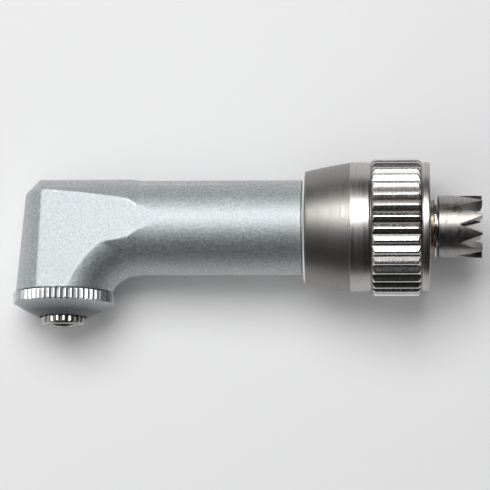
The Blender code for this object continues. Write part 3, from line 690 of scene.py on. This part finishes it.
def nose_bmesh():
    """Fluted end of the spindle with a rounded outer edge and the mouth of the shank's bore."""
    per_flute = 12
    count = NOSE_FLUTES * per_flute

    def fluted(height, limit_r=math.inf):
        """Ring of round lobes between sharp grooves, turned down to a limit."""
        points = []
        for index in range(count):
            across = abs(2.0 * ((index / per_flute) % 1.0) - 1.0)
            radius = min(NOSE_R - NOSE_FLUTE_DEPTH * across ** 2.0, limit_r)
            points.append(polar(radius, index * math.tau / count, height))
        return points

    rings = [fluted(NOSE_START), fluted(NOSE_START + 0.8), fluted(NOSE_END - 0.32)]
    edge_steps = 8
    for step in range(edge_steps + 1):
        share = step / edge_steps
        rings.append(fluted(NOSE_END - 0.3 + 0.28 * share, NOSE_R + 0.01 - 0.24 * share ** 1.4))
    inner = [
        (NOSE_R - 0.29, NOSE_END), (NOSE_BORE_R + 0.16, NOSE_END), (NOSE_BORE_R + 0.11, NOSE_END - 0.01),
        (NOSE_BORE_R + 0.02, NOSE_END - 0.08), (NOSE_BORE_R, NOSE_END - 0.12),
        (NOSE_BORE_R, NOSE_SEAT_END), (NOSE_SEAT_R, NOSE_SEAT_END), (NOSE_SEAT_R, NOSE_START),
    ]
    rings += [ring(radius, height, count // 2) for radius, height in inner]
    return lofted(rings)


# ---------------------------------------------------------------- coupling nut

NUT_RIDGES, NUT_RIDGE_R, NUT_VALLEY_R = 36, 6.88, 6.54
NUT_BAND = (30.8, 35.8)
NUT_START, NUT_END = 24.05, 36.6
NUT_FRONT_R, NUT_FRONT_EDGE = 5.6, 0.3
NUT_CONE_END, NUT_CONE_END_R, NUT_CONE_BULGE = 28.7, 6.44, 0.04
NUT_BODY_R, NUT_LIP_R = 6.5, 6.47
NUT_BORE_R, NUT_SHOULDER = 4.36, 26.0
NUT_CAVITY_R = 5.3
THREAD_START, THREAD_END = 28.0, NUT_END - 0.5
THREAD_PITCH, THREAD_DEPTH, THREAD_FADE = 0.75, 0.22, 6


def nut_front():
    """Profile of the nut's rounded front edge, its slightly bulging cone and its cylinder."""
    cone_start = NUT_START + NUT_FRONT_EDGE
    profile = [(NUT_FRONT_R - 0.3, NUT_START), (NUT_FRONT_R - 0.18, NUT_START + 0.03),
               (NUT_FRONT_R - 0.05, NUT_START + 0.17), (NUT_FRONT_R, cone_start)]
    cone_steps = 12
    for step in range(1, cone_steps + 1):
        share = step / cone_steps
        bulge = NUT_CONE_BULGE * math.sin(math.pi * share)
        profile.append((NUT_FRONT_R + (NUT_CONE_END_R - NUT_FRONT_R) * share + bulge,
                        cone_start + (NUT_CONE_END - cone_start) * share))
    band_start = NUT_BAND[0]
    profile += [(NUT_BODY_R - 0.015, NUT_CONE_END + 0.03), (NUT_BODY_R, NUT_CONE_END + 0.08),
                (NUT_BODY_R, band_start - 1.2), (NUT_BODY_R, band_start - 0.3),
                (NUT_BODY_R - 0.04, band_start - 0.08), (NUT_BODY_R - 0.08, band_start - 0.02)]
    return profile


def nut_thread(count):
    """Rings of the inner thread, from the nut's mouth inwards, fading out at both ends."""
    root_r = NUT_CAVITY_R + 0.02
    steps = 96
    rings = []
    for step in range(steps + 1):
        height = THREAD_END + (THREAD_START - THREAD_END) * step / steps
        fade = min(1.0, step / THREAD_FADE, (steps - step) / THREAD_FADE)
        points = []
        for index in range(count):
            phase = (height / THREAD_PITCH + index / count) % 1.0
            flank = (1.0 - abs(2.0 * phase - 1.0)) * 1.5 - 0.25
            radius = root_r - THREAD_DEPTH * fade * min(1.0, max(0.0, flank))
            points.append(polar(radius, index * math.tau / count, height))
        rings.append(points)
    return rings


def nut_bmesh():
    """Coupling nut with its knurled band and the thread that takes the sheath."""
    per_ridge = 12
    count = NUT_RIDGES * per_ridge
    inner_count = count // 3
    rings = [ring(radius, height, count) for radius, height in nut_front()]

    low, high = NUT_BAND
    band_steps = 36
    for step in range(band_steps + 1):
        share = 0.5 - 0.5 * math.cos(math.pi * step / band_steps)
        height = low + (high - low) * share
        edge = min(height - low, high - height)
        rings.append(knurl(count, per_ridge, height, NUT_VALLEY_R - 0.08 + edge * 1.3))
    rear = [(NUT_LIP_R - 0.05, high + 0.02), (NUT_LIP_R - 0.03, high + 0.1), (NUT_LIP_R, high + 0.18),
            (NUT_LIP_R, NUT_END - 0.16), (NUT_LIP_R - 0.04, NUT_END - 0.06), (NUT_LIP_R - 0.13, NUT_END)]
    rings += [ring(radius, height, count) for radius, height in rear]

    rings += [ring(NUT_CAVITY_R + 0.25, NUT_END, inner_count),
              ring(NUT_CAVITY_R + 0.02, NUT_END - 0.25, inner_count)]
    rings += nut_thread(inner_count)
    inner = [(NUT_CAVITY_R, THREAD_START - 0.3), (NUT_CAVITY_R, NUT_SHOULDER), (NUT_BORE_R, NUT_SHOULDER),
             (NUT_BORE_R, NUT_START + 0.1), (NUT_BORE_R + 0.1, NUT_START)]
    rings += [ring(radius, height, inner_count) for radius, height in inner]
    return lofted(rings)


def knurl(count, per_ridge, height, limit_r):
    """Ring of V ridges with a small crest radius, turned down to a limit near the band's ends."""
    crest = 0.12
    points = []
    for index in range(count):
        across = abs(((index / per_ridge + 0.5) % 1.0) - 0.5) * 2.0
        fall = (math.hypot(across, crest) - crest) / (math.hypot(1.0, crest) - crest)
        radius = NUT_RIDGE_R + (NUT_VALLEY_R - NUT_RIDGE_R) * fall
        points.append(polar(min(radius, limit_r), index * math.tau / count, height))
    return points


# ---------------------------------------------------------------- crown gear and rear pieces

CROWN_TEETH, CROWN_R, CROWN_HOLLOW_R = 10, 3.1, 2.1
CROWN_PHASE = 4.0             # turn of the teeth, in degrees
CROWN_ROOT_SHARE, CROWN_FLANK_SHARE = 0.1, 0.82      # of half a tooth's pitch
CROWN_FACE, CROWN_FLOOR, CROWN_ROOT, CROWN_TIP = 37.42, 38.9, 39.6, 41.8
CROWN_BORE_R, CROWN_BOSS_R, CROWN_BOSS = 1.23, 2.0, 0.15
WASHER_R, WASHER = 3.05, (37.08, 37.22)
BUSH_START, BUSH_R = 30.3, 2.28
BUSH_FLANGE_R, BUSH_FLANGE = 2.7, (36.6, 37.0)
BUSH_BORE_R = 1.26
RETAINER_BORE_R, RETAINER_R, RETAINER = 2.31, 3.1, (29.95, 36.55)
RETAINER_SLOT_WIDTH, RETAINER_SLOT_FLOOR, RETAINER_SLOT_TURN = 0.9, 35.7, 35.0
SHAFT_R, SHAFT_START, SHAFT_END = 1.2, 1.95, 39.2
PINION_SEAT_R, PINION_SEAT_END = 0.95, 3.78
CIRCLIP_GROOVE_R, CIRCLIP_GROOVE = 1.0, (29.32, 29.65)


def crown_bmesh():
    """Crown gear with pointed teeth on its rear rim, a hollow and a boss in front."""
    per_tooth = 24
    count = CROWN_TEETH * per_tooth

    def rim(radius, drop):
        """Ring along the teeth. drop takes the tips down, towards the hollow."""
        points = []
        for index in range(count):
            turn = index / per_tooth - CROWN_PHASE * CROWN_TEETH / 360.0
            away = abs(turn % 1.0 - 0.5) * 2.0
            flank = (1.0 - away - CROWN_ROOT_SHARE) / CROWN_FLANK_SHARE
            share = min(1.0, max(0.0, flank))
            height = CROWN_ROOT + (CROWN_TIP - drop - CROWN_ROOT) * share
            points.append(polar(radius, index * math.tau / count, height))
        return points

    def plain(radius, height):
        return ring(radius, height, count)

    boss_face = CROWN_FACE - CROWN_BOSS
    rings = [plain(CROWN_BORE_R, boss_face), plain(CROWN_BORE_R, CROWN_FLOOR),
             plain(CROWN_HOLLOW_R - 0.1, CROWN_FLOOR), plain(CROWN_HOLLOW_R, CROWN_FLOOR + 0.1),
             rim(CROWN_HOLLOW_R, 0.12), rim(CROWN_HOLLOW_R + 0.05, 0.04),
             rim(CROWN_R - 0.07, 0.0), rim(CROWN_R - 0.02, 0.02), rim(CROWN_R, 0.07)]
    wall_top, wall_end, wall_steps = CROWN_ROOT - 0.15, CROWN_FACE + 0.14, 5
    for step in range(1, wall_steps + 1):
        rings.append(plain(CROWN_R, wall_top + (wall_end - wall_top) * step / wall_steps))
    rings += [plain(CROWN_R - 0.04, CROWN_FACE + 0.04), plain(CROWN_R - 0.13, CROWN_FACE),
              plain(CROWN_BOSS_R, CROWN_FACE), plain(CROWN_BOSS_R, boss_face)]
    return lofted(rings)


def washer_bmesh():
    """Thin thrust washer between the bush and the crown gear."""
    low, high = WASHER
    return turned([(CROWN_BORE_R, low), (WASHER_R, low), (WASHER_R, high), (CROWN_BORE_R, high)], soft=0.03)


def bush_bmesh():
    """Bronze bush with the flange that shows behind the nut."""
    return turned([(BUSH_BORE_R, BUSH_START), (BUSH_R, BUSH_START), (BUSH_R, BUSH_FLANGE[0]),
                   (BUSH_FLANGE_R, BUSH_FLANGE[0]), (BUSH_FLANGE_R, BUSH_FLANGE[1]),
                   (BUSH_BORE_R, BUSH_FLANGE[1])], soft=0.04)


def shaft_bmesh():
    """Drive shaft with the pinion's seat, the circlip's groove and a rounded rear end."""
    return turned_solid([
        (0.0, SHAFT_START), (PINION_SEAT_R, SHAFT_START), (PINION_SEAT_R, PINION_SEAT_END),
        (SHAFT_R, PINION_SEAT_END), (SHAFT_R, CIRCLIP_GROOVE[0]), (CIRCLIP_GROOVE_R, CIRCLIP_GROOVE[0]),
        (CIRCLIP_GROOVE_R, CIRCLIP_GROOVE[1]), (SHAFT_R, CIRCLIP_GROOVE[1]), (SHAFT_R, SHAFT_END - 0.12),
        (SHAFT_R - 0.03, SHAFT_END - 0.04), (SHAFT_R - 0.1, SHAFT_END), (0.0, SHAFT_END),
    ], 64)


def retainer_mesh():
    """Retainer nut: a tube with a screwdriver slot across its rear end."""
    low, high = RETAINER
    tube = turned([(RETAINER_BORE_R, low), (RETAINER_R, low), (RETAINER_R, high - 0.05),
                   (RETAINER_R - 0.05, high), (RETAINER_BORE_R, high)])
    body = mesh_object("retainer", tube)
    half_width = RETAINER_SLOT_WIDTH / 2.0
    slot_cutter = block((-5.0, -half_width, RETAINER_SLOT_FLOOR), (5.0, half_width, high + 1.45))
    slot_turn = Matrix.Rotation(math.radians(RETAINER_SLOT_TURN), 4, "Z")
    cutter = boolean(body, "DIFFERENCE", slot_cutter, slot_turn)
    mesh = modified(body, "bearing_retainer")
    remove_all([cutter])
    return mesh


def make_pieces():
    """Fine meshes in place of the nodes that show, and looks for the nodes carried over."""
    cap_finish = cap_metal(CAP_VALLEY_R, CAP_R, CAP_BAND_START - 0.02, CAP_BAND_END + 0.02)
    # The last figure is where the painted highlight on the nut's front edge ends.
    nut_finish = brushed_stainless(NUT_VALLEY_R, NUT_RIDGE_R, *NUT_BAND, NUT_CONE_END, NUT_START + 0.2)
    crown_steel = machined_steel("crown_steel", (0.25, 0.24, 0.225), (0.46, 0.445, 0.415), 0.33)
    plain_steel = machined_steel("shaft_steel", (0.44, 0.43, 0.42), (0.62, 0.61, 0.59), 0.28)
    polished = machined_steel("polished_steel", (0.66, 0.655, 0.645), (0.80, 0.79, 0.775), 0.14,
                              stain=(0.42, 0.38, 0.30), stain_share=0.3, relief=0.3)
    nose_steel = machined_steel("nose_steel", (0.40, 0.385, 0.36), (0.60, 0.585, 0.56), 0.26,
                                stain=(0.24, 0.20, 0.15), stain_share=0.6, relief=0.3)
    spring = machined_steel("spring_steel", (0.22, 0.22, 0.225), (0.40, 0.40, 0.405), 0.34,
                            stain=(0.20, 0.17, 0.15), stain_share=0.4)
    bronze_finish = bronze()

    finished("housing", housing_mesh(), HEAD, "head", satin_chrome(), ["head_housing"], 40.0)
    finished_bmesh("cap", cap_bmesh(), SPINDLE, "head", cap_finish, ["head_cap"])
    finished_bmesh("nose", nose_bmesh(), SPINDLE, "spindle_line", nose_steel,
                   ["nose_collar"])
    finished_bmesh("nut", nut_bmesh(), BARREL, "nut", nut_finish,
                   ["coupling_nut"], 38.0)
    finished_bmesh("crown", crown_bmesh(), BARREL, "drive_line", crown_steel,
                   ["crown_gear"], 24.0)
    finished_bmesh("rear_bush", bush_bmesh(), BARREL, "head", bronze_finish, ["rear_bronze_bush"])
    finished_bmesh("washer", washer_bmesh(), BARREL, "drive_line", polished,
                   ["thrust_washer"])
    finished("retainer_nut", retainer_mesh(), BARREL, "head", plain_steel,
             ["bearing_retainer_nut"])
    finished_bmesh("shaft", shaft_bmesh(), BARREL, "drive_line", plain_steel,
                   ["drive_shaft"])

    replaced = {"head_housing", "head_cap", "nose_collar", "coupling_nut", "crown_gear", "rear_bronze_bush",
                "thrust_washer", "bearing_retainer_nut", "drive_shaft"}
    finishes = {"bronze": bronze_finish, "seal_rubber": seal_rubber(), "spring_steel": spring,
                "bearing_steel": polished, "machined_steel": plain_steel}
    slots = {entry["node"]: entry["material_slot"] for entry in frame["record"]["subparts"]}
    for name, node in frame["nodes"].items():
        if name not in replaced:
            node.data.materials.clear()
            node.data.materials.append(finishes[slots[name]])


# ---------------------------------------------------------------- floor, light and camera

FLOOR_UP = Vector((0.0900, -0.1123, 0.9896)).normalized()
FLOOR_SIZE, FLOOR_GAP = 5.0, 0.00002
VIEW_FROM = Vector((0.0576, -0.1480, 0.9873)).normalized()
VIEW_TARGET = (18.19, -1.75)  # along the barrel and across it, in millimetres
VIEW_DISTANCE = 0.24
VIEW_WIDTH = 0.049
VIEW_ROLL = 0.0033            # of the camera about its own axis, in radians
SENSOR_WIDTH = 36.0
LIGHT_CENTRE = Vector((HEAD_X + 0.018, 0.0, 0.0))
KEY_DISTANCE, KEY_LIFT, KEY_SIDE = 0.43, math.radians(19.5), -0.045


def floor_material():
    """Pale, nearly even ground."""
    ground = Metal("pale_floor", (0.80, 0.80, 0.805), 0.62, 0.0)
    cloud = ground.noise(0.02, 3.0, 0.5)
    grain = ground.noise(1.4, 3.0, 0.6)
    ground.colour(ground.mix(cloud, (0.795, 0.795, 0.80), (0.815, 0.815, 0.815)))
    ground.roughness(ground.map(grain, 0.3, 0.7, 0.55, 0.68))
    return ground.done()


def make_floor():
    """Flat floor under the lowest point of the head as it lies in the photograph."""
    lowest = min((FLOOR_UP.dot(piece.matrix_world @ vert.co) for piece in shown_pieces() if piece.type == "MESH"
                  for vert in piece.data.vertices), default=0.0)
    bm = bmesh.new()
    bmesh.ops.create_grid(bm, x_segments=8, y_segments=8, size=FLOOR_SIZE)
    floor = mesh_object("floor", bm)
    floor.rotation_euler = FLOOR_UP.to_track_quat("Z", "Y").to_euler()
    floor.location = FLOOR_UP * (lowest - FLOOR_GAP)
    floor.data.materials.append(floor_material())
    floor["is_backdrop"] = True


def area_light(name, offset, width, height, power):
    """White panel that faces the light centre from an offset."""
    data = bpy.data.lights.new(name, "AREA")
    data.shape = "RECTANGLE"
    data.size = width
    data.size_y = height
    data.energy = power
    lamp = bpy.data.objects.new(name, data)
    lamp.location = LIGHT_CENTRE + offset
    lamp.rotation_euler = (-offset).to_track_quat("-Z", "Y").to_euler()
    bpy.context.scene.collection.objects.link(lamp)
    return lamp


def make_lights():
    """One softbox above the barrel, leaning away from the tool, a weak card off the head's end, and
    a broad sky light towards the tool, which metal doesn't mirror and which keeps shadows soft."""
    key_offset = Vector((KEY_SIDE, math.sin(KEY_LIFT) * KEY_DISTANCE, math.cos(KEY_LIFT) * KEY_DISTANCE))
    area_light("key_softbox", key_offset, width=0.27, height=0.25, power=1.47)
    area_light("head_end_card", Vector((-0.36, 0.0, 0.12)), width=0.4, height=0.24, power=0.165)
    sky = area_light("sky_panel", Vector((-0.3, -0.28, 0.75)), width=1.3, height=1.5, power=5.0)
    sky.visible_glossy = False
    world = bpy.data.worlds.new("studio")
    world.use_nodes = True
    background = world.node_tree.nodes["Background"]
    background.inputs["Color"].default_value = (0.86, 0.88, 0.90, 1.0)
    background.inputs["Strength"].default_value = 0.02
    bpy.context.scene.world = world


def make_camera():
    """Camera nearly above the head, at the photograph's angle."""
    data = bpy.data.cameras.new("camera")
    data.sensor_width = SENSOR_WIDTH
    data.lens = data.sensor_width * VIEW_DISTANCE / VIEW_WIDTH
    data.clip_start = 0.01
    camera = bpy.data.objects.new("camera", data)
    target = Vector((HEAD_X + VIEW_TARGET[0] * MM, VIEW_TARGET[1] * MM, 0.0))
    camera.location = target + VIEW_FROM * VIEW_DISTANCE
    right = Vector((1.0, 0.0, 0.0))
    right = (right - VIEW_FROM * right.dot(VIEW_FROM)).normalized()
    up = VIEW_FROM.cross(right)
    right, up = right - up * VIEW_ROLL, up + right * VIEW_ROLL
    camera.rotation_euler = Matrix((right, up, VIEW_FROM)).transposed().to_euler()
    bpy.context.scene.collection.objects.link(camera)
    bpy.context.scene.camera = camera


make_pieces()
make_floor()
make_lights()
make_camera()
bpy.context.scene.view_settings.view_transform = "Standard"
